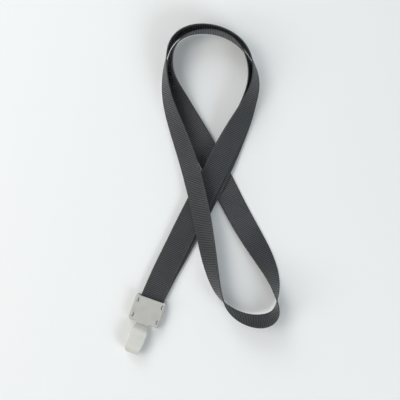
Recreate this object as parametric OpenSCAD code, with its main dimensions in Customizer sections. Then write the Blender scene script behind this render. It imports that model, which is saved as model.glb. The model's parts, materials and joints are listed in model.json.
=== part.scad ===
// Lanyard: a flat woven ribbon, laid down in two open loops, whose ends meet in a
// two-shell clamp that also holds a flat hook with a sprung gate.
// Millimetres. +Z is up from the surface that the lanyard lies on, +Y runs along the
// clamp's axis from the hook to the ribbon, and the origin is the middle of the
// lanyard's outline, on the surface.

/* [Ribbon] */
// Width of the ribbon
ribbon_w = 15; // [10:0.5:15]
// Thickness of the ribbon
ribbon_t = 0.8; // [0.4:0.1:0.8]
// Rings of the ribbon between two points of its route
rings_per_point = 3; // [2:1:4]

/* [Clamp] */
// Width of the clamp, across the ribbon
clamp_w = 20.4; // [20.2:0.2:24]
// Length of the clamp, along the ribbon
clamp_l = 17; // [17:0.5:20]
// Height of the back shell
back_h = 2.9; // [2.7:0.1:3.1]
// Height of the closed clamp
clamp_h = 6; // [5.8:0.1:7]
// Radius of the clamp's corners
clamp_corner_r = 1.8; // [0.5:0.1:3]
// Width of the bevel along the sides of the front shell
clamp_bevel = 1.1; // [0.3:0.1:1.2]

/* [Hook] */
// Width of the hook's strap
hook_w = 10.3; // [9:0.1:11]
// Thickness of the hook's strap
hook_t = 1.6; // [1.2:0.1:1.8]
// Reach of the hook below the clamp
hook_reach = 20.1; // [19:0.1:26]
// Outer height of the hook
hook_h = 8; // [8:0.1:10]
// Sideways lean of the hook, in degrees
hook_lean = 3; // [0:0.5:4]
// Width of the gate
gate_w = 6.4; // [4:0.2:6.8]
// Thickness of the gate
gate_t = 0.9; // [0.6:0.1:1]

/* [Hidden] */

RIBBON_COLOUR = [0.22, 0.23, 0.24];
CLAMP_COLOUR = [0.72, 0.72, 0.70];
HOOK_COLOUR = [0.82, 0.82, 0.80];

// Small gap between pieces that are fitted together, and between those that move.
FIT = 0.05;
CLEAR = 0.3;

// ---- Ribbon ------------------------------------------------------------------

// Doubled stretch, from the clamp to the left of the upper loop. Each row is the
// point midway between the two layers, the lean of the ribbon out of the flat in
// degrees (a positive lean lifts its left edge), the distance between the layers'
// middles, how far the layers have slipped sideways, and how many degrees they splay
// apart.
PAIR = [
    [-16.8, -78, 2.6, 0, 1, 0, 0], [-16.5, -69, 2.6, 0, 1, 0, 0],
    [-15.7, -60, 2.6, 0, 1, 0.5, 0], [-14.5, -49, 2.2, 0, 1.2, 1, 0],
    [-12.5, -37, 2, 0, 1.2, 2, 0], [-10.5, -21, 2.2, 0, 1.4, 2.5, 0],
    [-8.5, -6, 3.2, 0, 1.4, 2.5, 0], [-6.5, 9, 4, 2, 1.4, 2.5, 0],
    [-4.5, 25, 4.4, 8, 1.4, 2.5, 0], [-3, 41, 5, 22, 1.4, 2.5, 0],
    [-1, 57, 7, 40, 1.6, 2.5, 4], [0, 71, 8.4, 56, 2.2, 2, 5],
    [-1.5, 83, 9.4, 66, 2.4, 1, 8], [-8.5, 94, 9.2, 82, 2.4, 0, 8],
    [-18.5, 101.5, 9, 92, 2.1, 0, 6], [-31, 104, 8.8, 95, 1.8, 0, 4],
    [-43.5, 101.5, 8.8, 96, 2.4, 0, 10], [-54.2, 94.7, 9, 93, 3.1, 0, 14],
    [-58.8, 84.5, 9.4, 88, 3.1, 0, 13]];

// Single stretch: down to the right, round the lower loop, and back up over it all.
// Each row is a point of the ribbon's middle and its lean.
SINGLE = [
    [-55.8, 73.5, 8.8, 75], [-52.2, 64, 6.8, 55], [-44.6, 54.8, 4.2, 27],
    [-34, 45.6, 2.6, 13], [-21.5, 35.5, 1.7, 7], [-8.5, 23.5, 1.2, 3],
    [4.5, 11, 1, -2], [17.5, -1.5, 1.8, -8], [30.5, -12.5, 3, -20],
    [42, -22, 5, -36], [50.8, -31, 7.5, -55], [57, -41, 9, -77],
    [61, -52.3, 9, -106], [55, -59.5, 8.6, -122], [43, -62.2, 8.4, -112],
    [31.3, -59.7, 8.8, -101], [23, -54, 9, -79], [14.3, -42.7, 8.4, -60],
    [5.6, -28, 9.6, -46], [-4, -10.5, 10.6, -40], [-14, 5.5, 10.8, -40],
    [-24, 20, 9.6, -42], [-34, 32.5, 8.2, -46], [-43.5, 44, 8.4, -56],
    [-52, 56, 9, -68], [-58, 71, 9.4, -82]];

// Line where the ribbon folds when the clamp is lifted, and the gap left on each
// side of it.
FOLD_Y = -67;
FOLD_GAP = 0.8;

function unit(v) = v / norm(v);
function place(row) = [row[0], row[1], row[2]];
function heading(rows, i) =
    unit(place(rows[min(i + 1, len(rows) - 1)]) - place(rows[max(i - 1, 0)]));

// Level direction to the left of the heading, and the upward one square to both.
function left_of(t) = unit([-t.y, t.x, 0]);
function above(t) = cross(t, left_of(t));

// Direction across the ribbon, and the one out of its face, at a lean.
function across(t, lean) = cos(lean) * left_of(t) + sin(lean) * above(t);
function face(t, lean) = cos(lean) * above(t) - sin(lean) * left_of(t);

function layer_shift(i) =
    let (t = heading(PAIR, i), row = PAIR[i])
    across(t, row[3]) * row[5] / 2 + face(t, row[3]) * row[4] / 2;

UNDER_LAYER = [for (i = [0:len(PAIR) - 1])
    concat(place(PAIR[i]) - layer_shift(i), PAIR[i][3] - PAIR[i][6] / 2)];
UPPER_LAYER = [for (i = [len(PAIR) - 1:-1:0])
    concat(place(PAIR[i]) + layer_shift(i), -PAIR[i][3] - PAIR[i][6] / 2)];
ROUTE = concat(UNDER_LAYER, SINGLE, UPPER_LAYER);
LAST = len(ROUTE) - 1;
CONTROLS = concat([2 * ROUTE[0] - ROUTE[1]], ROUTE, [2 * ROUTE[LAST] - ROUTE[LAST - 1]]);

// Uniform cubic B-spline over four controls from number i on.
function spline(i, u) = (
    pow(1 - u, 3) * CONTROLS[i] +
    (3 * pow(u, 3) - 6 * pow(u, 2) + 4) * CONTROLS[i + 1] +
    (-3 * pow(u, 3) + 3 * pow(u, 2) + 3 * u + 1) * CONTROLS[i + 2] +
    pow(u, 3) * CONTROLS[i + 3]) / 6;

STATIONS = concat(
    [for (i = [0:LAST - 1]) for (k = [0:rings_per_point - 1]) spline(i, k / rings_per_point)],
    [spline(LAST - 1, 1)]);

// Four corners of the ribbon's section at a station.
function ring(i) =
    let (t = heading(STATIONS, i),
         p = place(STATIONS[i]),
         w = across(t, STATIONS[i][3]) * ribbon_w / 2,
         n = face(t, STATIONS[i][3]) * ribbon_t / 2)
    [p - w - n, p + w - n, p + w + n, p - w + n];

// Closed band through all the rings.
module whole_ribbon() {
    last_ring = len(STATIONS) - 1;
    corners = [for (i = [0:last_ring]) each ring(i)];
    sides = [for (i = [0:last_ring - 1]) for (k = [0:3])
        let (a = 4 * i + k, b = 4 * i + (k + 1) % 4)
        each [[a, b, b + 4], [a, b + 4, a + 4]]];
    first_cap = [[0, 3, 2], [0, 2, 1]];
    last_cap = [for (f = first_cap) [for (k = [2:-1:0]) 4 * last_ring + f[k]]];
    polyhedron(points = corners, faces = concat(sides, first_cap, last_cap));
}

// Room round the ribbon near the clamp, on the clamp's side of a line across it.
module clamp_side(y) {
    translate([clamp_x - clamp_w, y - 2 * clamp_l, -1])
        cube([2 * clamp_w, 2 * clamp_l, 2 * clamp_h]);
}

module ribbon_loop() {
    color(RIBBON_COLOUR)
        difference() {
            whole_ribbon();
            clamp_side(FOLD_Y + FOLD_GAP);
        }
}

// The two ends of the ribbon, on the clamp's side of the fold.
module ribbon_ends() {
    color(RIBBON_COLOUR)
        intersection() {
            whole_ribbon();
            clamp_side(FOLD_Y - FOLD_GAP);
        }
}

// ---- Clamp -------------------------------------------------------------------

// Middle of the clamp, and the mouth where the ribbon goes in.
clamp_x = -16.8;
mouth_y = -69;

// Rooms inside the clamp: a channel for the ribbon and a pocket for the hook's tab.
channel_w = 16.4;
channel_back = -0.9;
channel_z = [1.3, 3.65];
pocket_w = 14.4;
pocket_back = -7;
pocket_z = [1.5, 3.9];
slot_w = 9.5;

// Shallow recesses in the front shell's two ends, which leave an ear at each corner.
recess_w = 15.6;
mouth_recess = 0.7;
hook_recess = 0.4;

// Prongs of the back shell, and the windows in the front shell that they snap into.
prong_x = [8, 8.6];
prong_head_x = 8.95;
prong_y = [-5, 4.9];
prong_l = 2.3;
window_x = [7.55, 8.65];
window_ledge_x = 9;
window_l = 2.6;
ledge_z = 4.9;

tooth_pitch = 1.7;
tooth_count = 4;
tooth_h = 0.35;

module at_clamp() {
    translate([clamp_x, mouth_y - clamp_l / 2, 0]) children();
}

// Block with round upright edges, standing on z = 0.
module round_block(w, l, r, h) {
    linear_extrude(h) {
        square([w - 2 * r, l], center = true);
        square([w, l - 2 * r], center = true);
        for (sx = [-1, 1], sy = [-1, 1])
            translate([sx * (w / 2 - r), sy * (l / 2 - r)]) circle(r, $fn = 32);
    }
}

// Prism along Y or X whose section is a block with its upper edges cut off.
module bevel_section(w, h, cut_w, cut_h) {
    polygon([[-w / 2, 0], [w / 2, 0], [w / 2, h - cut_h], [w / 2 - cut_w, h],
             [-w / 2 + cut_w, h], [-w / 2, h - cut_h]]);
}

// Rooms for the ribbon's ends, the hook's tab and the hook's neck.
module clamp_rooms() {
    translate([-channel_w / 2, channel_back, channel_z[0]])
        cube([channel_w, clamp_l, channel_z[1] - channel_z[0]]);
    translate([-pocket_w / 2, pocket_back, pocket_z[0]])
        cube([pocket_w, channel_back - pocket_back + FIT, pocket_z[1] - pocket_z[0]]);
    translate([-slot_w / 2, -clamp_l, pocket_z[0]])
        cube([slot_w, clamp_l + pocket_back + FIT, pocket_z[1] - pocket_z[0]]);
}

module at_prongs() {
    for (y = prong_y, side = [0, 1])
        translate([0, y, 0]) mirror([side, 0, 0]) children();
}

// Back shell: floor, teeth under the ribbon, and four barbed prongs.
module clamp_back() {
    color(CLAMP_COLOUR)
        at_clamp() {
            difference() {
                intersection() {
                    round_block(clamp_w, clamp_l, clamp_corner_r, back_h);
                    translate([0, clamp_l / 2 + 1, back_h]) rotate([90, 180, 0])
                        linear_extrude(clamp_l + 2) bevel_section(clamp_w, back_h, 0.7, 0.7);
                }
                clamp_rooms();
            }
            for (i = [0:tooth_count - 1])
                translate([-channel_w / 2, 1 + i * tooth_pitch, channel_z[0]])
                    rotate([90, 0, 90]) linear_extrude(channel_w)
                        polygon([[0, -0.2], [0, 0], [tooth_h, tooth_h], [2 * tooth_h, 0],
                                 [2 * tooth_h, -0.2]]);
            at_prongs() {
                translate([prong_x[0], -prong_l / 2, 1])
                    cube([prong_x[1] - prong_x[0], prong_l, clamp_h - 1.1]);
                translate([prong_x[0], -prong_l / 2, ledge_z + FIT])
                    cube([prong_head_x - prong_x[0], prong_l, clamp_h - 0.1 - ledge_z - FIT]);
            }
        }
}

// Front shell: bevelled cover with a window over each prong.
module clamp_front() {
    front_z = back_h + FIT;
    front_h = clamp_h - front_z;
    color(CLAMP_COLOUR)
        at_clamp()
            difference() {
                translate([0, 0, front_z])
                    intersection() {
                        round_block(clamp_w, clamp_l, clamp_corner_r, front_h);
                        translate([0, clamp_l / 2 + 1, 0]) rotate([90, 0, 0])
                            linear_extrude(clamp_l + 2)
                                bevel_section(clamp_w, front_h, clamp_bevel, 1.2);
                        translate([-clamp_w / 2 - 1, 0, 0]) rotate([90, 0, 90])
                            linear_extrude(clamp_w + 2)
                                bevel_section(clamp_l, front_h, 0.6, 0.6);
                    }
                clamp_rooms();
                translate([-recess_w / 2, clamp_l / 2 - mouth_recess, front_z - 1])
                    cube([recess_w, 2, clamp_h]);
                translate([-recess_w / 2, -clamp_l / 2 - 2 + hook_recess, front_z - 1])
                    cube([recess_w, 2, clamp_h]);
                at_prongs() {
                    translate([window_x[0], -window_l / 2, 1])
                        cube([window_x[1] - window_x[0], window_l, clamp_h]);
                    translate([window_x[0], -window_l / 2, ledge_z])
                        cube([window_ledge_x - window_x[0], window_l, clamp_h]);
                }
            }
}

// ---- Hook --------------------------------------------------------------------

// Neck's middle, measured from the clamp's.
neck_dx = -0.3;
neck_w = 8;
neck_z = [1.7, 3.7];
tab_w = 13;
tab_l = 6.2;
shoulder_y = 1.9;

// Bend of the hook: its centre, and its radii outside and inside.
bend_r = hook_h / 2;
bend_inner_r = bend_r - hook_t;
bend_y = -(hook_reach - bend_r);
leg_end_y = -10;
tip_corner_r = 2.2;
tip_w = hook_w - 0.8;

// Gate: hinge line, slope and length.
gate_y = -3;
gate_z = 0.9;
gate_slope = 13;
gate_l = 8;
gate_root_r = 0.6;

module at_hook() {
    translate([clamp_x + neck_dx, mouth_y - clamp_l, 0]) rotate([0, 0, -hook_lean]) children();
}

// Extrusion along X of an outline drawn with Y to the right and Z up.
module along_x(w) {
    translate([-w / 2, 0, 0]) rotate([90, 0, 90]) linear_extrude(w) children();
}

// Side view of the hook: tab, neck, rise, strap, bend and lower leg.
module hook_profile() {
    polygon([
        [tab_l, neck_z[0]], [tab_l, neck_z[1]], [-1.2, neck_z[1]],
        [-4.4, hook_h], [bend_y, hook_h], [bend_y, hook_h - hook_t],
        [-5.2, hook_h - hook_t], [-1.8, neck_z[0] + 0.2], [-1.7, neck_z[0]]]);
    intersection() {
        translate([bend_y, bend_r])
            difference() {
                circle(bend_r, $fn = 64);
                circle(bend_inner_r, $fn = 64);
            }
        translate([bend_y - 2 * bend_r, -1]) square([2 * bend_r, hook_h + 2]);
    }
    translate([bend_y, 0]) square([leg_end_y - bend_y, hook_t]);
    translate([leg_end_y, hook_t / 2]) circle(hook_t / 2, $fn = 32);
}

// Half of the hook's outline seen from above: tab, neck, strap and round tip.
HALF_OUTLINE = concat(
    [[tab_w / 2, tab_l + 1], [tab_w / 2, shoulder_y], [neck_w / 2, shoulder_y],
     [neck_w / 2, -1], [neck_w / 2 + 0.35, -3], [hook_w / 2, -5.5], [hook_w / 2, -13]],
    [for (a = [0:-15:-90])
        [tip_w / 2 - tip_corner_r + tip_corner_r * cos(a),
         tip_corner_r - hook_reach + tip_corner_r * sin(a)]]);

module hook_outline() {
    last_point = len(HALF_OUTLINE) - 1;
    polygon(concat(HALF_OUTLINE,
        [for (i = [last_point:-1:0]) [-HALF_OUTLINE[i].x, HALF_OUTLINE[i].y]]));
}

// Lug under the neck, where the gate is hinged.
module gate_lug() {
    translate([-gate_w / 2, gate_y + gate_root_r + CLEAR, 0.2])
        cube([gate_w, 1.7, neck_z[0]]);
}

module hook() {
    color(HOOK_COLOUR)
        at_hook() {
            intersection() {
                along_x(tab_w + 2) hook_profile();
                translate([0, 0, -1]) linear_extrude(hook_h + 2) hook_outline();
            }
            gate_lug();
        }
}

// Sprung tongue that closes the way into the hook, just above the lower leg's end.
module gate() {
    color(HOOK_COLOUR)
        at_hook()
            along_x(gate_w) {
                translate([gate_y, gate_z]) {
                    circle(gate_root_r, $fn = 32);
                    rotate(180 - gate_slope) translate([0, -gate_t / 2]) square([gate_l, gate_t]);
                    rotate(180 - gate_slope) translate([gate_l, 0]) circle(gate_t / 2, $fn = 24);
                }
            }
}

ribbon_loop();
ribbon_ends();
clamp_back();
clamp_front();
hook();
gate();
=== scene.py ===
import json
import math

import bmesh
import bpy
import numpy as np
from bpy.props import FloatProperty, FloatVectorProperty, IntProperty, PointerProperty
from bpy.types import Operator, Panel, PropertyGroup
from mathutils import Matrix, Vector


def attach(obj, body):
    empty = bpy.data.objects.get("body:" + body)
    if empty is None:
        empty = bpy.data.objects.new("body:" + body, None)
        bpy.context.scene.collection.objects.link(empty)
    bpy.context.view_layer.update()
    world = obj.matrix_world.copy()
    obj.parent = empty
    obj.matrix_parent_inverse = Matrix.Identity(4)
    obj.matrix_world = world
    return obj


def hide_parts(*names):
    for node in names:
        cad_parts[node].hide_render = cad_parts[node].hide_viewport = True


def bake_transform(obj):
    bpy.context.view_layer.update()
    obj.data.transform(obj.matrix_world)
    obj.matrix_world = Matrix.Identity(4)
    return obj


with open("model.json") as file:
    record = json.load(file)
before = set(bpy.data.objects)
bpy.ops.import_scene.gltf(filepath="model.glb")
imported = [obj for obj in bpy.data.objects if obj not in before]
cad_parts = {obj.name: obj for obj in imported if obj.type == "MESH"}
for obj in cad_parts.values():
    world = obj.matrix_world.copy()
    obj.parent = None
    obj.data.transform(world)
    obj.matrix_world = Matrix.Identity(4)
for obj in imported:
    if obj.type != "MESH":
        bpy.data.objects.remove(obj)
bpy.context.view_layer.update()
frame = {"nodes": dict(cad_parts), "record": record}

bl_info = {
    "name": "Lanyard",
    "version": (1, 0, 0),
    "blender": (4, 5, 0),
    "location": "View3D > Sidebar > Lanyard",
    "description": "A woven neck lanyard laid in two loops, with its clamp, hook and gate",
    "category": "Add Mesh",
}

MM = 0.001

# ---- The ribbon's route, in millimetres, as in the CAD model ---------------------

# Doubled stretch from the clamp to the left of the upper loop: x, y and z midway
# between the two layers, lean in degrees (positive lifts the left edge), distance
# between the layers, sideways slip between them, degrees they splay apart.
PAIR = [
    (-16.8, -78, 2.6, 0, 1, 0, 0), (-16.5, -69, 2.6, 0, 1, 0, 0),
    (-15.7, -60, 2.6, 0, 1, 0.5, 0), (-14.5, -49, 2.2, 0, 1.2, 1, 0),
    (-12.5, -37, 2, 0, 1.2, 2, 0), (-10.5, -21, 2.2, 0, 1.4, 2.5, 0),
    (-8.5, -6, 3.2, 0, 1.4, 2.5, 0), (-6.5, 9, 4, 2, 1.4, 2.5, 0),
    (-4.5, 25, 4.4, 8, 1.4, 2.5, 0), (-3, 41, 5, 22, 1.4, 2.5, 0),
    (-1, 57, 7, 40, 1.6, 2.5, 4), (0, 71, 8.4, 56, 2.2, 2, 5),
    (-1.5, 83, 9.4, 66, 2.4, 1, 8), (-8.5, 94, 9.2, 82, 2.4, 0, 8),
    (-18.5, 101.5, 9, 92, 2.1, 0, 6), (-31, 104, 8.8, 95, 1.8, 0, 4),
    (-43.5, 101.5, 8.8, 96, 2.4, 0, 10), (-54.2, 94.7, 9, 93, 3.1, 0, 14),
    (-58.8, 84.5, 9.4, 88, 3.1, 0, 13)]

# Single stretch: down to the right, round the lower loop, and back up over it all.
SINGLE = [
    (-55.8, 73.5, 8.8, 75), (-52.2, 64, 6.8, 55), (-44.6, 54.8, 4.2, 27),
    (-34, 45.6, 2.6, 13), (-21.5, 35.5, 1.7, 7), (-8.5, 23.5, 1.2, 3),
    (4.5, 11, 1, -2), (17.5, -1.5, 1.8, -8), (30.5, -12.5, 3, -20),
    (42, -22, 5, -36), (50.8, -31, 7.5, -55), (57, -41, 9, -77),
    (61, -52.3, 9, -106), (55, -59.5, 8.6, -122), (43, -62.2, 8.4, -112),
    (31.3, -59.7, 8.8, -101), (23, -54, 9, -79), (14.3, -42.7, 8.4, -60),
    (5.6, -28, 9.6, -46), (-4, -10.5, 10.6, -40), (-14, 5.5, 10.8, -40),
    (-24, 20, 9.6, -42), (-34, 32.5, 8.2, -46), (-43.5, 44, 8.4, -56),
    (-52, 56, 9, -68), (-58, 71, 9.4, -82)]

# The ribbon's section, in millimetres: where its mesh lines lie in from each edge, how
# far in from the edge it is rounded, the valley beside the selvedge, and its threads.
SECTION_INSETS = (0.06, 0.2, 0.45, 0.8, 1.3, 3.6, 6.1)
EDGE_ROUND = 0.35
VALLEY_DEPTH = 0.07
VALLEY_WIDTH = 0.14
THREAD_PITCH = 0.4

# Two slow waves along the ribbon, in millimetres for each radian, by which its lean
# wanders, and how far the second is ahead.
WANDER_WAVES = (9.3, 14.7)
WANDER_AHEAD = 2

# Where the hook leaves the clamp, and its sideways turn.
HOOK_PLACE = Vector((-17.1, -86, 0))
HOOK_TURN = math.radians(-3)

# The hook's strap, in millimetres: its reach and height, its thickness past the neck
# and in it, the neck's width, how much wider the top is, how much of that it loses
# again by the bend, the height of the neck's middle, where the neck starts, where the
# rise starts and ends, where the curled end stops, and the roundness of the far end's
# corners seen from above.
HOOK_REACH = 20.1
HOOK_HEIGHT = 8
HOOK_THICK = 1.6
NECK_THICK = 2
NECK_WIDTH = 8
TOP_WIDENS = 2.3
BEND_NARROWS = 0.8
NECK_Z = 2.7
NECK_START = 6.2
RISE_START, RISE_END = -1.3, -4.6
CURL_END = -9.2
TIP_ROUND = 2.2

# The lug that holds the gate, in millimetres: its near and far end, the height of its
# middle, its width and thickness, and the roundness of its ends.
LUG_NEAR, LUG_FAR = -0.4, -2.1
LUG_Z = 1.05
LUG_WIDTH = 6.4
LUG_THICK = 1.7
LUG_ROUND = 0.3
LUG_RINGS = 12

# Roundness of the gate's edges, and the angle past which a moulded edge is rounded.
GATE_EDGE = 0.2 * MM
SHARP = math.radians(35)

# Middle of the view, and the turn of the view round the vertical.
VIEW_CENTRE = Vector((-9 * MM, -0.5 * MM, 0))
VIEW_TURN = math.radians(19.5)

# Soft lights: azimuth and elevation in degrees, power in watts, and tint.
COOL, WARM = (0.88, 0.95, 1.0), (1.0, 0.97, 0.92)
LIGHTS = {
    "Cool window": (-45, 36, 6.9, COOL),
    "Cool far side": (115, 36, 6.0, COOL),
    "Warm lamp": (168, 58, 5.5, WARM),
    "Warm side": (200, 30, 4.3, WARM),
}

# Distance and side of the lights in metres, the room's own faint light, and how far
# the floor reaches from the middle in metres.
LIGHT_DISTANCE = 1.2
LIGHT_SIZE = 0.6
ROOM_TINT = (0.9, 0.95, 1, 1)
ROOM_STRENGTH = 0.32
FLOOR_REACH = 3.0


# ---- Settings --------------------------------------------------------------------

def length(name, description, default):
    """Property for a length in metres."""
    return FloatProperty(name=name, description=description, default=default, min=0,
                         subtype="DISTANCE", unit="LENGTH", precision=5)


def colour(name, description, default):
    """Property for a colour."""
    return FloatVectorProperty(name=name, description=description, default=default,
                               subtype="COLOR", size=3, min=0, max=1)


class RibbonSettings(PropertyGroup):
    """Sizes and colours of the ribbon"""
    width: length("Width", "Width of the ribbon", 15 * MM)
    thickness: length("Thickness", "Thickness of the ribbon over its ribs", 0.8 * MM)
    rib_pitch: length("Rib pitch", "Distance from one crosswise rib to the next", 1.09 * MM)
    rib_depth: length("Rib depth", "Depth of the groove between two ribs", 0.24 * MM)
    selvedge: length("Selvedge", "Width of the smooth woven edge", 0.7 * MM)
    wander: FloatProperty(name="Wander", default=0.5, min=0, max=1,
                          description="Small unevenness of the ribbon's lean, in degrees")
    rings_per_rib: IntProperty(name="Rings per rib", default=4, min=2, max=6,
                               description="Rings of the mesh along one rib")
    yarn: colour("Yarn", "Colour on top of a rib", (0.056, 0.0578, 0.062))
    # The groove colour is painted shade: near black, standing for the shade that falls in the
    # grooves between ribs.
    groove: colour("Groove", "Colour in the groove between ribs", (0.0012, 0.0013, 0.0014))


class ClampSettings(PropertyGroup):
    """Edges and colour of the clamp's shells"""
    edge: length("Edge radius", "Roundness of the shells' moulded edges", 0.22 * MM)
    plastic: colour("Plastic", "Colour of the shells", (0.4, 0.392, 0.362))


class HookSettings(PropertyGroup):
    """Edges and colour of the hook and gate"""
    edge: length("Edge radius", "Roundness of the hook's moulded edges", 0.4 * MM)
    plastic: colour("Plastic", "Colour of the hook and gate", (0.53, 0.52, 0.482))


class StageSettings(PropertyGroup):
    """Camera and floor"""
    eye_height: length("Eye height", "Height of the camera above the surface", 0.65)
    view_width: length("View width", "Width of the surface that the camera sees", 0.2544)
    floor: colour("Floor", "Colour of the surface", (0.72, 0.72, 0.71))


SETTINGS = {"lanyard_ribbon": RibbonSettings, "lanyard_clamp": ClampSettings,
            "lanyard_hook": HookSettings, "lanyard_stage": StageSettings}


# ---- Nodes -----------------------------------------------------------------------

class Tree:
    """Short-hand for adding and joining shader nodes."""

    def __init__(self, tree):
        self.tree = tree

    def add(self, kind, inputs=(), **settings):
        node = self.tree.nodes.new(kind)
        for key, value in settings.items():
            setattr(node, key, value)
        for key, value in dict(inputs).items():
            self.put(node.inputs[key], value)
        return node

    def put(self, socket, value):
        if isinstance(value, bpy.types.NodeSocket):
            self.tree.links.new(value, socket)
        else:
            socket.default_value = value

    def math(self, operation, *values):
        node = self.add("ShaderNodeMath", operation=operation)
        for socket, value in zip(node.inputs, values):
            self.put(socket, value)
        return node.outputs[0]

    def mix(self, factor, a, b):
        node = self.add("ShaderNodeMix", data_type="RGBA")
        self.put(node.inputs["Factor"], factor)
        self.put(node.inputs[6], a)
        self.put(node.inputs[7], b)
        return node.outputs[2]

    def smooth(self, value, low, high, to_low=0.0, to_high=1.0):
        node = self.add("ShaderNodeMapRange", interpolation_type="SMOOTHSTEP")
        for socket, item in zip(node.inputs, (value, low, high, to_low, to_high)):
            self.put(socket, item)
        return node.outputs[0]


def rgba(values, gain=1.0):
    """Colour with full alpha from three values, made lighter or darker by a gain."""
    return tuple(v * gain for v in values) + (1.0,)


def new_group(name, inputs, outputs):
    """Empty node group with named sockets: returns its Tree, input node and output node."""
    group = bpy.data.node_groups.new(name, "ShaderNodeTree")
    for label, kind, default in inputs:
        socket = group.interface.new_socket(name=label, in_out="INPUT", socket_type=kind)
        socket.default_value = default
    for label, kind in outputs:
        group.interface.new_socket(name=label, in_out="OUTPUT", socket_type=kind)
    tree = Tree(group)
    return tree, tree.add("NodeGroupInput"), tree.add("NodeGroupOutput")


def weave_group():
    """Ribbed weave from a strip's across and along positions in millimetres.

    Ribs run crosswise: the rib mask is the distance from the nearest groove. Fine
    threads run lengthwise over the ribs, and every other rib shifts them by half a
    thread. A selvedge mask is 1 in the smooth woven edge.
    """
    tree, given, result = new_group("Ribbed weave", [
        ("Across", "NodeSocketFloat", 0.0), ("Along", "NodeSocketFloat", 0.0),
        ("Half width", "NodeSocketFloat", 7.5), ("Rib pitch", "NodeSocketFloat", 1.0),
        ("Thread pitch", "NodeSocketFloat", 0.35), ("Selvedge", "NodeSocketFloat", 0.7)],
        [("Rib", "NodeSocketFloat"), ("Thread", "NodeSocketFloat"),
         ("Edge", "NodeSocketFloat"), ("Height", "NodeSocketFloat")])
    across, along = given.outputs["Across"], given.outputs["Along"]
    turns = tree.math("DIVIDE", along, given.outputs["Rib pitch"])
    phase = tree.math("FRACT", turns)
    off_top = tree.math("ABSOLUTE", tree.math("SUBTRACT", phase, 0.5))
    rib = tree.smooth(off_top, 0.04, 0.27)
    odd = tree.math("MULTIPLY", tree.math("FLOORED_MODULO", tree.math("FLOOR", turns), 2), 0.5)
    threads = tree.math("ADD", tree.math("DIVIDE", across, given.outputs["Thread pitch"]), odd)
    wave = tree.math("ABSOLUTE", tree.math("SINE", tree.math("MULTIPLY", threads, math.pi)))
    inside = tree.math("SUBTRACT", given.outputs["Half width"], tree.math("ABSOLUTE", across))
    edge = tree.smooth(tree.math("DIVIDE", inside, given.outputs["Selvedge"]), 0.8, 1.1, 1.0, 0.0)
    height = tree.math("ADD", tree.math("MULTIPLY", rib, 0.6), tree.math("MULTIPLY", wave, 0.4))
    for label, value in (("Rib", rib), ("Thread", wave), ("Edge", edge), ("Height", height)):
        tree.put(result.inputs[label], value)
    return tree.tree


def moulded_group():
    """Moulded plastic from object coordinates in metres: a faint cloudiness, a fine
    spark-eroded grain for the bump, and small dark specks of handling dirt."""
    tree, given, result = new_group("Moulded plastic", [
        ("Colour", "NodeSocketColor", (0.5, 0.5, 0.5, 1)),
        ("Grain size", "NodeSocketFloat", 0.4 * MM),
        ("Cloud", "NodeSocketFloat", 0.05), ("Dirt", "NodeSocketFloat", 0.1)],
        [("Colour", "NodeSocketColor"), ("Roughness", "NodeSocketFloat"),
         ("Height", "NodeSocketFloat")])
    place = tree.add("ShaderNodeTexCoord").outputs["Object"]
    cloud = tree.add("ShaderNodeTexNoise", {"Vector": place, "Scale": 260.0, "Detail": 3.0})
    grain_scale = tree.math("DIVIDE", 1.0, given.outputs["Grain size"])
    grain = tree.add("ShaderNodeTexNoise", {"Vector": place, "Scale": grain_scale, "Detail": 2.0})
    speck = tree.add("ShaderNodeTexNoise", {"Vector": place, "Scale": 900.0, "Detail": 4.0})
    low = tree.math("SUBTRACT", 1.0, given.outputs["Cloud"])
    high = tree.math("ADD", 1.0, given.outputs["Cloud"])
    gain = tree.smooth(cloud.outputs["Fac"], 0.3, 0.7, low, high)
    specks = tree.smooth(speck.outputs["Fac"], 0.62, 0.75)
    dirt = tree.math("MULTIPLY", specks, given.outputs["Dirt"])
    gain = tree.math("MULTIPLY", gain, tree.math("SUBTRACT", 1.0, dirt))
    scaled = tree.add("ShaderNodeVectorMath", operation="SCALE")
    tree.put(scaled.inputs[0], given.outputs["Colour"])
    tree.put(scaled.inputs["Scale"], gain)
    tree.put(result.inputs["Colour"], scaled.outputs[0])
    tree.put(result.inputs["Roughness"], tree.smooth(cloud.outputs["Fac"], 0.2, 0.8, 0.34, 0.46))
    tree.put(result.inputs["Height"], grain.outputs["Fac"])
    return tree.tree


def shared_group(name, build):
    """The node group of that name, built the first time it is wanted."""
    return bpy.data.node_groups.get(name) or build()


def new_material(name, **shader_values):
    """Material with a Principled shader whose plain values are set on its own sockets."""
    material = bpy.data.materials.new(name)
    material.use_nodes = True
    shader = material.node_tree.nodes["Principled BSDF"]
    for key, value in shader_values.items():
        shader.inputs[key.replace("_", " ")].default_value = value
    return material, Tree(material.node_tree), shader


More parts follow.
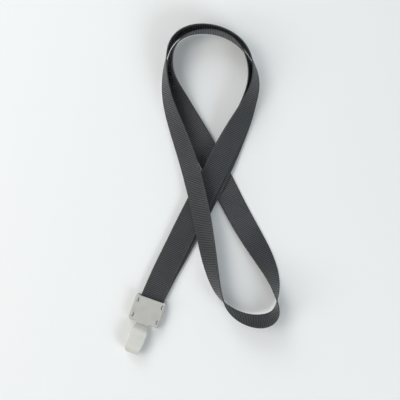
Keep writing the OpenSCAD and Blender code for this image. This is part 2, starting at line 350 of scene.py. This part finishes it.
def ribbon_material(settings, ribbon_length):
    """Charcoal ribbed yarn, with painted shade in the grooves between ribs. The UV map holds the
    way round the section and along it.
    """
    material, tree, shader = new_material(
        "Charcoal ribbed yarn", Metallic=0.0, IOR=1.62, Specular_IOR_Level=0.22, Sheen_Weight=0.04,
        Sheen_Roughness=0.35, Sheen_Tint=(0.82, 0.9, 1.0, 1.0))
    uv = tree.add("ShaderNodeUVMap", uv_map="strip").outputs[0]
    parts = tree.add("ShaderNodeSeparateXYZ", {"Vector": uv})
    width_mm = settings.width / MM
    folded = tree.math("PINGPONG", parts.outputs["X"], 0.5)
    across = tree.math("MULTIPLY", tree.math("SUBTRACT", folded, 0.25), 2 * width_mm)
    along = tree.math("MULTIPLY", parts.outputs["Y"], ribbon_length / MM)
    weave = tree.add("ShaderNodeGroup")
    weave.node_tree = shared_group("Ribbed weave", weave_group)
    for key, value in {"Across": across, "Along": along, "Half width": width_mm / 2,
                       "Rib pitch": settings.rib_pitch / MM, "Thread pitch": THREAD_PITCH,
                       "Selvedge": settings.selvedge / MM}.items():
        tree.put(weave.inputs[key], value)
    rib, edge = weave.outputs["Rib"], weave.outputs["Edge"]
    # Painted shade: the rib mask darkens the yarn to the near-black groove colour in the grooves
    # between ribs.
    tone_with_groove_shade = tree.mix(rib, rgba(settings.groove), rgba(settings.yarn))
    tone_with_groove_shade = tree.mix(edge, tone_with_groove_shade, rgba(settings.yarn, 0.75))
    thread = tree.smooth(weave.outputs["Thread"], 0.0, 0.9, 0.7, 1.08)
    place = tree.add("ShaderNodeTexCoord").outputs["Object"]
    wear = tree.add("ShaderNodeTexNoise", {"Vector": place, "Scale": 60.0, "Detail": 4.0})
    gain = tree.math("MULTIPLY", thread, tree.smooth(wear.outputs["Fac"], 0.3, 0.7, 0.9, 1.1))
    scaled = tree.add("ShaderNodeVectorMath", operation="SCALE")
    tree.put(scaled.inputs[0], tone_with_groove_shade)
    tree.put(scaled.inputs["Scale"], gain)
    tree.put(shader.inputs["Base Color"], scaled.outputs[0])
    tree.put(shader.inputs["Roughness"], tree.smooth(rib, 0.0, 1.0, 0.85, 0.3))
    bump = tree.add("ShaderNodeBump", {"Strength": 0.45, "Distance": 0.15 * MM,
                                       "Height": weave.outputs["Height"]})
    tree.put(shader.inputs["Normal"], bump.outputs[0])
    return material


def plastic_material(name, settings, cloud, dirt):
    """Satin moulded plastic with faint clouds and specks of dirt, from 0 to 1."""
    material, tree, shader = new_material(name, Metallic=0.0, IOR=1.49)
    plastic = tree.add("ShaderNodeGroup")
    plastic.node_tree = shared_group("Moulded plastic", moulded_group)
    for key, value in {"Colour": rgba(settings.plastic), "Grain size": 0.4 * MM,
                       "Cloud": cloud, "Dirt": dirt}.items():
        tree.put(plastic.inputs[key], value)
    tree.put(shader.inputs["Base Color"], plastic.outputs["Colour"])
    tree.put(shader.inputs["Roughness"], plastic.outputs["Roughness"])
    bump = tree.add("ShaderNodeBump", {"Strength": 0.12, "Distance": 0.08 * MM,
                                       "Height": plastic.outputs["Height"]})
    tree.put(shader.inputs["Normal"], bump.outputs[0])
    return material


# ---- Ribbon ----------------------------------------------------------------------

def unit(vectors):
    """Vectors over their lengths."""
    return vectors / np.linalg.norm(vectors, axis=-1, keepdims=True)


def side_and_face(heading, lean):
    """Directions across the ribbon and out of its face, from its heading and lean.

    Level left is the heading turned a quarter turn about Z, and up is square to both.
    Across is cos(lean) left + sin(lean) up, and face is cos(lean) up - sin(lean) left.
    """
    left = unit(np.stack([-heading[:, 1], heading[:, 0], 0 * heading[:, 0]], -1))
    up = np.cross(heading, left)
    c, s = np.cos(np.radians(lean))[:, None], np.sin(np.radians(lean))[:, None]
    return c * left + s * up, c * up - s * left


def route_controls():
    """Control rows (x, y, z, lean) of the whole ribbon: the under layer of the doubled
    stretch, the single stretch, and the upper layer back to the clamp. Each layer is
    the doubled row moved by half its spacing along the face and half its slip across,
    and turned by half the splay."""
    pair = np.array(PAIR, float)
    place, lean = pair[:, :3], pair[:, 3]
    across, face = side_and_face(unit(np.gradient(place, axis=0)), lean)
    shift = across * pair[:, 5:6] / 2 + face * pair[:, 4:5] / 2
    splay = pair[:, 6] / 2
    under = np.c_[place - shift, lean - splay]
    upper = np.c_[place + shift, -lean - splay][::-1]
    rows = np.vstack([under, np.array(SINGLE, float), upper])
    return np.vstack([2 * rows[0] - rows[1], rows, 2 * rows[-1] - rows[-2]])


def spline_at(controls, t):
    """Uniform cubic B-spline and its slope at parameters t, one unit per span."""
    span = np.minimum(t.astype(int), len(controls) - 4)
    u = (t - span)[:, None]
    weights = ((1 - u) ** 3, 3 * u ** 3 - 6 * u ** 2 + 4, -3 * u ** 3 + 3 * u ** 2 + 3 * u + 1,
               u ** 3)
    slopes = (-(1 - u) ** 2, 3 * u ** 2 - 4 * u, -3 * u ** 2 + 2 * u + 1, u ** 2)
    point = sum(w * controls[span + i] for i, w in enumerate(weights)) / 6
    slope = sum(w * controls[span + i] for i, w in enumerate(slopes)) / 2
    return point, slope


def even_stations(controls, step):
    """Stations at equal steps along the curve, from its chord length at fine parameters."""
    spans = len(controls) - 3
    fine = np.linspace(0, spans, spans * 60 + 1)
    point, _ = spline_at(controls, fine)
    walked = np.r_[0, np.cumsum(np.linalg.norm(np.diff(point[:, :3], axis=0), axis=1))]
    count = int(walked[-1] / step)
    along = np.linspace(0, walked[-1], count + 1)
    point, slope = spline_at(controls, np.interp(along, walked, fine))
    return along, point, unit(slope[:, :3])


def ribbon_section(settings):
    """Section as across positions and sides (+1 upper, -1 lower, 0 at the two edges)."""
    half = settings.width / MM / 2
    inset = np.array(SECTION_INSETS)
    upper = np.r_[half - inset, -(half - inset)[::-1]]
    across = np.r_[half, upper, -half, upper[::-1]]
    side = np.r_[0, np.ones(len(upper)), 0, -np.ones(len(upper))]
    return across, side


def half_thickness(settings, across, along):
    """Half the ribbon's thickness: full on a rib, less in the grooves, with a slim bead
    along the selvedge and a round fall to nothing at the very edge."""
    half = settings.width / MM / 2
    inside = half - np.abs(across)
    rise = np.abs(np.cos(np.pi * along / (settings.rib_pitch / MM))) ** 0.7
    woven = np.clip((inside - 0.5) / 0.5, 0, 1)
    groove = settings.rib_depth / MM * (1 - rise) * woven
    valley = VALLEY_DEPTH * np.exp(-((inside - settings.selvedge / MM) / VALLEY_WIDTH) ** 2)
    fall = np.sqrt(1 - np.clip(1 - inside / EDGE_ROUND, 0, 1) ** 2)
    return (settings.thickness / MM / 2 - groove - valley) * fall


def band_mesh(name, points):
    """Closed band through a grid of points (stations by places round the section), with
    its two ends capped."""
    rings, sides = points.shape[:2]
    i, k = np.meshgrid(np.arange(rings - 1), np.arange(sides), indexing="ij")
    nxt = (k + 1) % sides
    quads = np.stack([i * sides + k, i * sides + nxt, (i + 1) * sides + nxt,
                      (i + 1) * sides + k], -1).reshape(-1, 4)
    caps = [list(range(sides))[::-1], [(rings - 1) * sides + j for j in range(sides)]]
    mesh = bpy.data.meshes.new(name)
    mesh.from_pydata(points.reshape(-1, 3).tolist(), [], quads.tolist() + caps)
    smooth = np.ones(len(mesh.polygons), bool)
    smooth[-2:] = False
    mesh.polygons.foreach_set("use_smooth", smooth)
    mesh.update()
    return mesh


def add_strip_uv(mesh, along, around):
    """UV map "strip" of a band: the way round its section and the way along it."""
    sides = len(around)
    i, k = np.meshgrid(np.arange(len(along) - 1), np.arange(sides), indexing="ij")
    rim = np.r_[around, 1.0]
    flat = np.zeros((len(mesh.loops), 2))
    flat[:i.size * 4, 0] = np.stack([rim[k], rim[k + 1], rim[k + 1], rim[k]], -1).reshape(-1)
    flat[:i.size * 4, 1] = np.stack([along[i], along[i], along[i + 1], along[i + 1]],
                                    -1).reshape(-1)
    flat[i.size * 4:, 0] = np.r_[around[::-1], around]
    flat[i.size * 4:, 1] = np.repeat([along[0], along[-1]], sides)
    mesh.uv_layers.new(name="strip").data.foreach_set("uv", flat.astype(np.float32).ravel())


def add_object(name, mesh, material):
    piece = bpy.data.objects.new(name, mesh)
    bpy.context.scene.collection.objects.link(piece)
    mesh.materials.append(material)
    return piece


class LANYARD_OT_ribbon(Operator):
    """Lay the woven ribbon along its route"""
    bl_idname = "lanyard.ribbon"
    bl_label = "Ribbon"

    def execute(self, context):
        settings = context.scene.lanyard_ribbon
        step = settings.rib_pitch / MM / settings.rings_per_rib
        along, station, heading = even_stations(route_controls(), step)
        along = along * step / along[1]
        first, second = (along / wave for wave in WANDER_WAVES)
        wander = settings.wander * (np.sin(first) + np.sin(second + WANDER_AHEAD))
        across_way, face_way = side_and_face(heading, station[:, 3] + wander)
        across, side = ribbon_section(settings)
        half = half_thickness(settings, across[None, :], along[:, None])
        points = (station[:, None, :3] + across_way[:, None] * across[None, :, None]
                  + face_way[:, None] * (half * side[None, :])[..., None])
        width = settings.width / MM
        around = np.where(side < 0, 0.75 + across / width / 2, 0.25 - across / width / 2)
        around[0] = 0.0
        around[side.tolist().index(0, 1)] = 0.5
        mesh = band_mesh("ribbon", points * MM)
        add_strip_uv(mesh, along / along[-1], around)
        ribbon = add_object("ribbon", mesh, ribbon_material(settings, along[-1] * MM))
        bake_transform(ribbon)
        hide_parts("ribbon_loop", "ribbon_ends")
        return {"FINISHED"}


# ---- Clamp and hook --------------------------------------------------------------

def moulded_copy(node, edge, material):
    """Copy of a CAD node with its moulded edges rounded.

    The loose triangles are merged, flat areas are made one face each, and a Bevel
    modifier rounds every edge sharper than 35 degrees.
    """
    source = frame["nodes"][node]
    form = bmesh.new()
    form.from_mesh(source.data)
    bmesh.ops.remove_doubles(form, verts=form.verts, dist=0.002 * MM)
    bmesh.ops.dissolve_limit(form, angle_limit=math.radians(1), verts=form.verts,
                             edges=form.edges)
    mesh = bpy.data.meshes.new(node + "_moulded")
    form.to_mesh(mesh)
    form.free()
    mesh.polygons.foreach_set("use_smooth", np.ones(len(mesh.polygons), bool))
    piece = add_object(node + "_moulded", mesh, material)
    bevel = piece.modifiers.new("Moulded edges", "BEVEL")
    bevel.width = edge
    bevel.segments = 3
    bevel.limit_method = "ANGLE"
    bevel.angle_limit = SHARP
    bevel.harden_normals = True
    body = next(name for name, nodes in frame["record"]["behaviour"]["bodies"].items()
                if node in nodes)
    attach(piece, body)
    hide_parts(node)
    return piece


def rounded_path(corners, radii, step):
    """Points and headings at near-even steps along a flat polyline whose inner corners
    are rounded: an arc of the given radius replaces each corner's last stretch."""
    corners = np.array(corners, float)
    pieces, last = [], corners[0]
    for before, corner, after, radius in zip(corners, corners[1:], corners[2:], radii):
        away, onward = unit(before - corner), unit(after - corner)
        half_angle = math.acos(np.clip(np.dot(away, onward), -1, 1)) / 2
        reach = radius / math.tan(half_angle)
        centre = corner + unit(away + onward) * radius / math.sin(half_angle)
        first = corner + away * reach
        pieces.append(np.linspace(last, first, 8)[:-1])
        swing = math.pi - 2 * half_angle
        turn = np.linspace(0, swing, 16)[:, None]
        out = unit(first - centre)
        pieces.append(centre + radius * (out * np.cos(turn) - away * np.sin(turn)))
        last = corner + onward * reach
    pieces.append(np.linspace(last, corners[-1], 8)[1:])
    line = np.vstack(pieces)
    walked = np.r_[0, np.cumsum(np.linalg.norm(np.diff(line, axis=0), axis=1))]
    along = np.linspace(0, walked[-1], int(walked[-1] / step) + 1)
    point = np.stack([np.interp(along, walked, line[:, n]) for n in (0, 1)], -1)
    return along, point, unit(np.gradient(point, axis=0))


def smoothstep(value, low, high):
    """0 below low, 1 above high, and 3 t^2 - 2 t^3 between."""
    t = np.clip((value - low) / (high - low), 0, 1)
    return t * t * (3 - 2 * t)


def strap_points(point, heading, width, thickness, edge):
    """Grid of points of a moulded strap. Its section is a rounded rectangle, width by
    thickness with corner radius edge, square to a path in the Y-Z plane."""
    angles = np.radians(np.linspace(0, 90, 6))
    corner = np.stack([np.cos(angles), np.sin(angles)], -1)
    signs = ((1, 1), (-1, 1), (-1, -1), (1, -1))
    round_part = np.vstack([corner[::sx * sy] * (sx, sy) for sx, sy in signs])
    place = np.repeat(signs, 6, axis=0)
    edge = np.minimum(edge, thickness / 2 * 0.96)[:, None]
    x = place[:, 0] * (width[:, None] / 2 - edge) + round_part[:, 0] * edge
    n = place[:, 1] * (thickness[:, None] / 2 - edge) + round_part[:, 1] * edge
    normal = np.stack([-heading[:, 1], heading[:, 0]], -1)
    yz = point[:, None] - normal[:, None] * n[..., None]
    return np.concatenate([x[..., None], yz], -1)


def hook_mesh(settings):
    """Strap of the hook, in the hook's own frame: from the clamp along the neck, up the
    rise, along the top, round the bend and back under, with a rounded end. Its width
    and thickness are smooth steps along the way, and the far end's corners are taken
    off by a circle: round - sqrt(round^2 - depth^2) from each side."""
    top, low = HOOK_HEIGHT - HOOK_THICK / 2, HOOK_THICK / 2
    far = HOOK_THICK / 2 - HOOK_REACH
    bend = HOOK_HEIGHT / 2 - HOOK_THICK / 2
    just_in = bend - 0.001
    corners = [(NECK_START, NECK_Z), (RISE_START, NECK_Z), (RISE_END, top), (far, top),
               (far, low), (CURL_END, low)]
    along, point, heading = rounded_path(corners, radii=[1.6, 3, just_in, just_in], step=0.2)
    thickness = NECK_THICK - (NECK_THICK - HOOK_THICK) * smoothstep(along, 7.5, 12)
    y = point[:, 0]
    width = (NECK_WIDTH + TOP_WIDENS * smoothstep(-y, 0.8, 6)
             - BEND_NARROWS * smoothstep(-y, 13, 18))
    outer = y + np.where(y < far + bend, heading[:, 1], 0) * thickness / 2
    into_tip = np.clip(TIP_ROUND - HOOK_REACH - outer, 0, TIP_ROUND)
    width = width - 2 * (TIP_ROUND - np.sqrt(TIP_ROUND ** 2 - into_tip ** 2))
    left = np.clip(1 - (along[-1] - along) / (HOOK_THICK / 2), 0, 0.995)
    fall = np.sqrt(1 - left ** 2)
    grid = strap_points(point, heading, width - HOOK_THICK / 2 * (1 - fall), thickness * fall,
                        np.full(len(along), settings.edge / MM))
    return band_mesh("hook", grid * MM)


def lug_mesh(settings):
    """Small block under the neck, where the gate is hinged: a strap along Y whose
    section draws in by a quarter circle of the edge radius at both ends."""
    edge = settings.edge / MM
    y = np.linspace(LUG_NEAR, LUG_FAR, LUG_RINGS)
    near_end = np.clip(1 - np.minimum(LUG_NEAR - y, y - LUG_FAR) / LUG_ROUND, 0, 1)
    inset = edge * (1 - np.sqrt(np.clip(1 - near_end ** 2, 0.02, 1)))
    point = np.stack([y, np.full(LUG_RINGS, LUG_Z)], -1)
    heading = np.tile([-1.0, 0.0], (LUG_RINGS, 1))
    grid = strap_points(point, heading, LUG_WIDTH - 2 * inset, LUG_THICK - 2 * inset,
                        np.full(LUG_RINGS, edge))
    return band_mesh("lug", grid * MM)


def join_meshes(name, meshes, place):
    """One mesh from several, moved into place."""
    form = bmesh.new()
    for mesh in meshes:
        form.from_mesh(mesh)
        bpy.data.meshes.remove(mesh)
    form.transform(place)
    mesh = bpy.data.meshes.new(name)
    form.to_mesh(mesh)
    form.free()
    return mesh


class LANYARD_OT_clamp(Operator):
    """Finish the clamp's two shells"""
    bl_idname = "lanyard.clamp"
    bl_label = "Clamp"

    def execute(self, context):
        settings = context.scene.lanyard_clamp
        material = plastic_material("Light grey shell plastic", settings, cloud=0.03, dirt=0.1)
        for node in ("clamp_back", "clamp_front"):
            moulded_copy(node, settings.edge, material)
        return {"FINISHED"}


class LANYARD_OT_hook(Operator):
    """Finish the hook and its gate"""
    bl_idname = "lanyard.hook"
    bl_label = "Hook and gate"

    def execute(self, context):
        settings = context.scene.lanyard_hook
        material = plastic_material("Pale grey hook plastic", settings, cloud=0.03, dirt=0.08)
        place = Matrix.Translation(HOOK_PLACE * MM) @ Matrix.Rotation(HOOK_TURN, 4, "Z")
        mesh = join_meshes("hook", [hook_mesh(settings), lug_mesh(settings)], place)
        hook = add_object("hook", mesh, material)
        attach(hook, "clamp")
        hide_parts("hook")
        moulded_copy("gate", GATE_EDGE, material)
        return {"FINISHED"}


# ---- Stage -----------------------------------------------------------------------

def soft_light(name, azimuth, elevation, power, tint):
    """Square area light that faces the lanyard from an azimuth and elevation in degrees,
    measured in the view: 0 is to the right of it and 90 is to the top."""
    light = bpy.data.lights.new(name, "AREA")
    light.size = LIGHT_SIZE
    light.energy = power
    light.color = tint
    turn = math.radians(azimuth) + VIEW_TURN
    tilt = math.radians(elevation)
    way = Vector((math.cos(turn) * math.cos(tilt), math.sin(turn) * math.cos(tilt),
                  math.sin(tilt)))
    lamp = bpy.data.objects.new(name, light)
    lamp.location = VIEW_CENTRE + way * LIGHT_DISTANCE
    lamp.rotation_euler = way.to_track_quat("Z", "Y").to_euler()
    bpy.context.scene.collection.objects.link(lamp)


class LANYARD_OT_stage(Operator):
    """Set the camera, the pale floor and the soft lights"""
    bl_idname = "lanyard.stage"
    bl_label = "Stage"

    def execute(self, context):
        settings = context.scene.lanyard_stage
        camera_data = bpy.data.cameras.new("Camera")
        camera_data.sensor_width = 36
        camera_data.lens = 36 * settings.eye_height / settings.view_width
        camera_data.clip_start = 0.01
        camera = bpy.data.objects.new("Camera", camera_data)
        camera.location = VIEW_CENTRE + Vector((0, 0, settings.eye_height))
        camera.rotation_euler = (0, 0, VIEW_TURN)
        context.scene.collection.objects.link(camera)
        context.scene.camera = camera

        reach = FLOOR_REACH
        corners = [(-reach, -reach, 0), (reach, -reach, 0), (reach, reach, 0), (-reach, reach, 0)]
        floor_mesh = bpy.data.meshes.new("floor")
        floor_mesh.from_pydata(corners, [], [(0, 1, 2, 3)])
        material, _, _ = new_material("Pale floor", Base_Color=rgba(settings.floor),
                                      Roughness=0.65)
        add_object("floor", floor_mesh, material)

        for name, values in LIGHTS.items():
            soft_light(name, *values)
        world = bpy.data.worlds.new("Soft room")
        world.use_nodes = True
        background = world.node_tree.nodes["Background"]
        background.inputs["Color"].default_value = ROOM_TINT
        background.inputs["Strength"].default_value = ROOM_STRENGTH
        context.scene.world = world
        context.scene.view_settings.view_transform = "Standard"
        return {"FINISHED"}


class LANYARD_PT_panel(Panel):
    """List of the lanyard's pieces and their settings"""
    bl_idname = "LANYARD_PT_panel"
    bl_label = "Lanyard"
    bl_space_type = "VIEW_3D"
    bl_region_type = "UI"
    bl_category = "Lanyard"

    def draw(self, context):
        for operator in OPERATORS:
            self.layout.operator(operator.bl_idname)
        for name, group in SETTINGS.items():
            box = self.layout.box()
            for key in group.__annotations__:
                box.prop(getattr(context.scene, name), key)


OPERATORS = (LANYARD_OT_stage, LANYARD_OT_ribbon, LANYARD_OT_clamp, LANYARD_OT_hook)
CLASSES = tuple(SETTINGS.values()) + OPERATORS + (LANYARD_PT_panel,)


def register():
    for item in CLASSES:
        bpy.utils.register_class(item)
    for name, group in SETTINGS.items():
        setattr(bpy.types.Scene, name, PointerProperty(type=group))


def unregister():
    for name in SETTINGS:
        delattr(bpy.types.Scene, name)
    for item in reversed(CLASSES):
        bpy.utils.unregister_class(item)


def main():
    register()
    bpy.ops.lanyard.stage()
    bpy.ops.lanyard.ribbon()
    bpy.ops.lanyard.clamp()
    bpy.ops.lanyard.hook()


if __name__ == "__main__":
    main()
